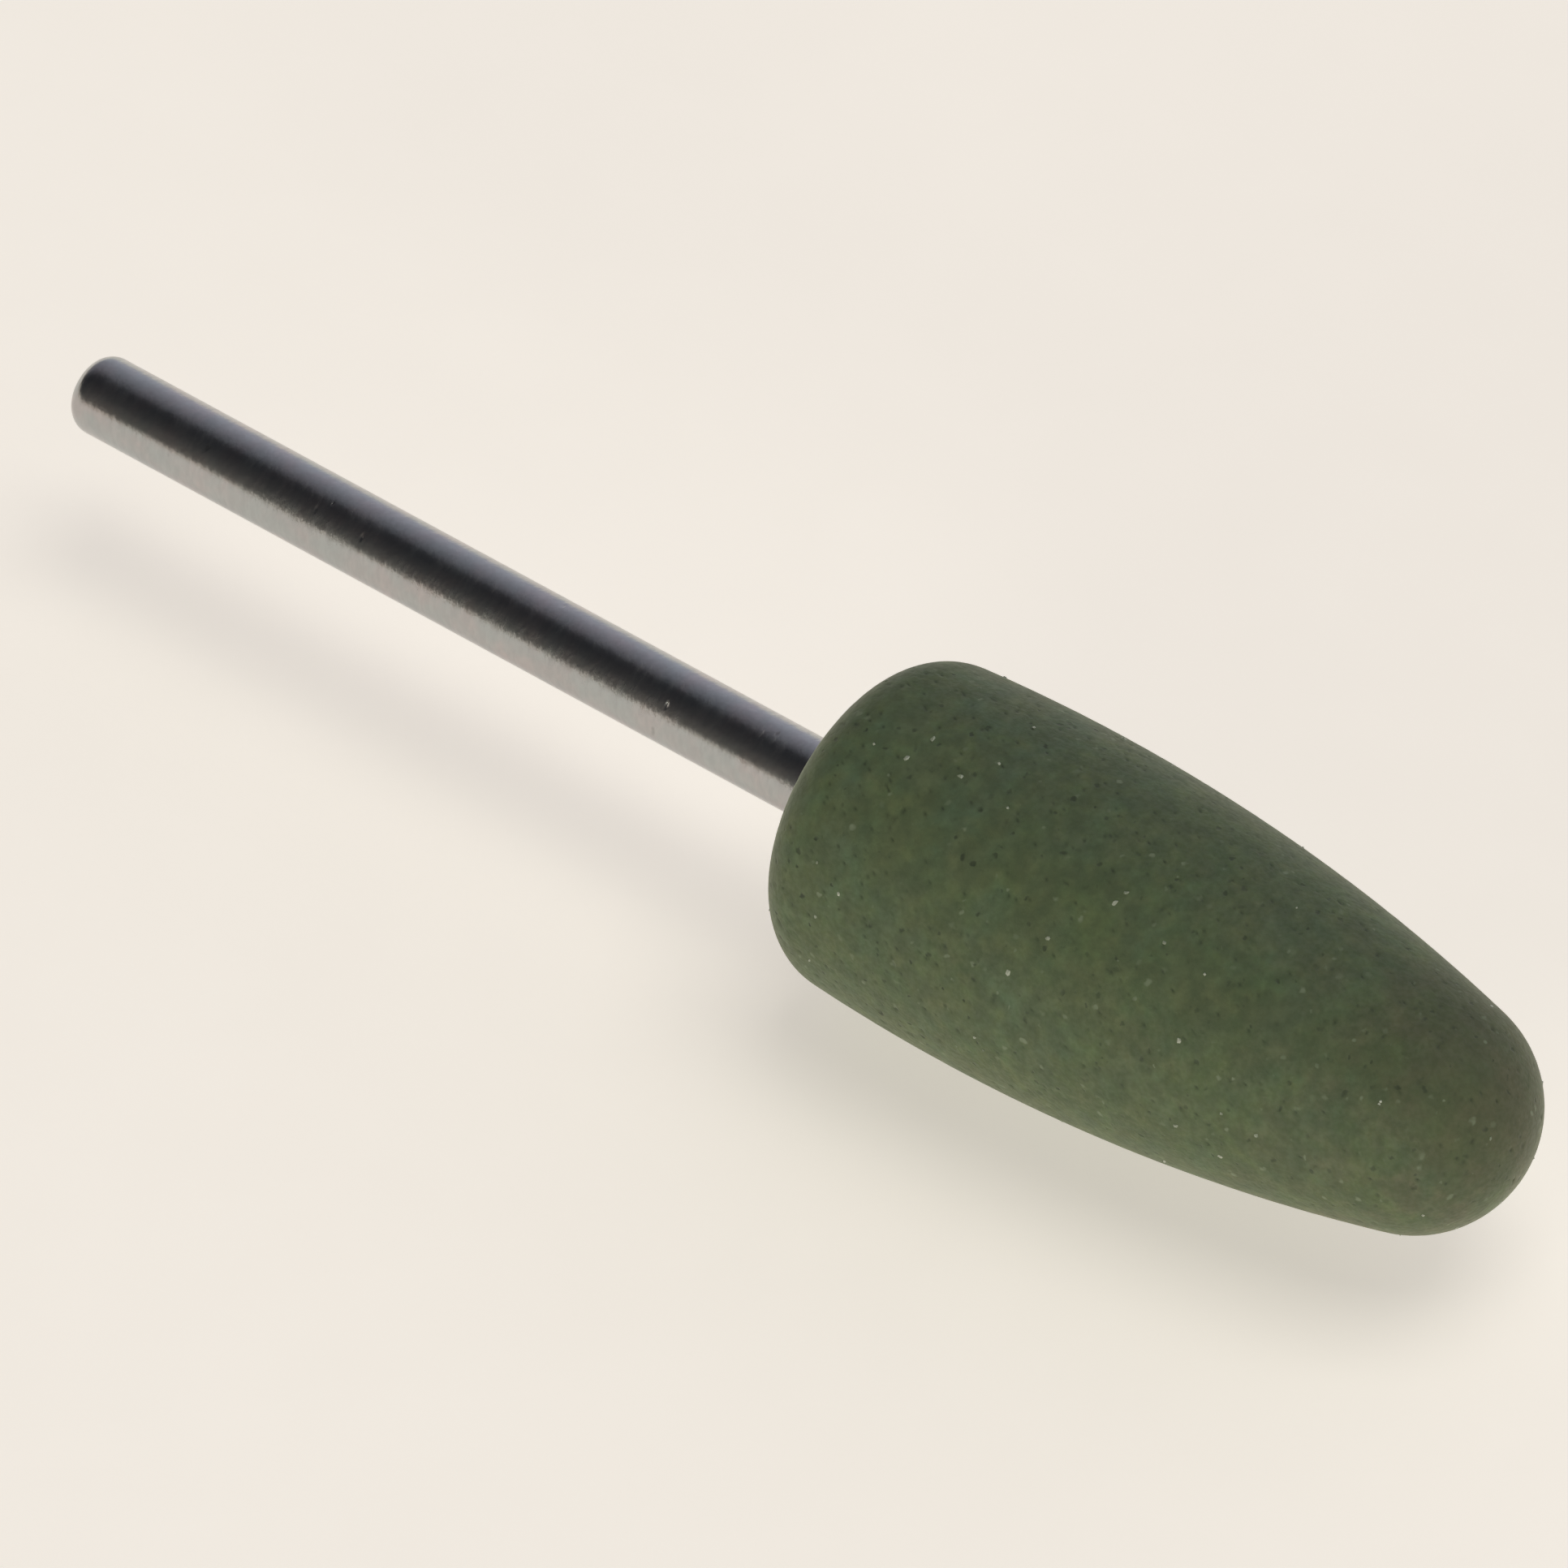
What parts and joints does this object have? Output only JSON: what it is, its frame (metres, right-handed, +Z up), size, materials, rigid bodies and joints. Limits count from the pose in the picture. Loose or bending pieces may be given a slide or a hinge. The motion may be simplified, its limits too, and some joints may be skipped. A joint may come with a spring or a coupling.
{
  "type": "dental polisher",
  "caption": "Bullet-shaped polisher of abrasive-filled green rubber, moulded on a plain round steel mandrel that a straight dental handpiece grips.",
  "frame": {"origin": "on the axis of rotation, in the plane of the head's back face, where the bare shank ends", "axes": "+X along the axis of rotation towards the head's tip, -X along the bare shank to its free end, +Z up with the axis level, as a handpiece holds it"},
  "size_m": [0.051, 0.0104, 0.0104],
  "materials": {
    "ground_steel": "ground and polished, with fine marks round the shank and a few light scratches",
    "green_rubber": "matte moulded rubber filled with abrasive grain, with sparse bright grains and small dark pores"
  },
  "bodies": {
    "root": {"mandrel": "ground_steel", "polishing_head": "green_rubber"}
  },
  "joints": []
}
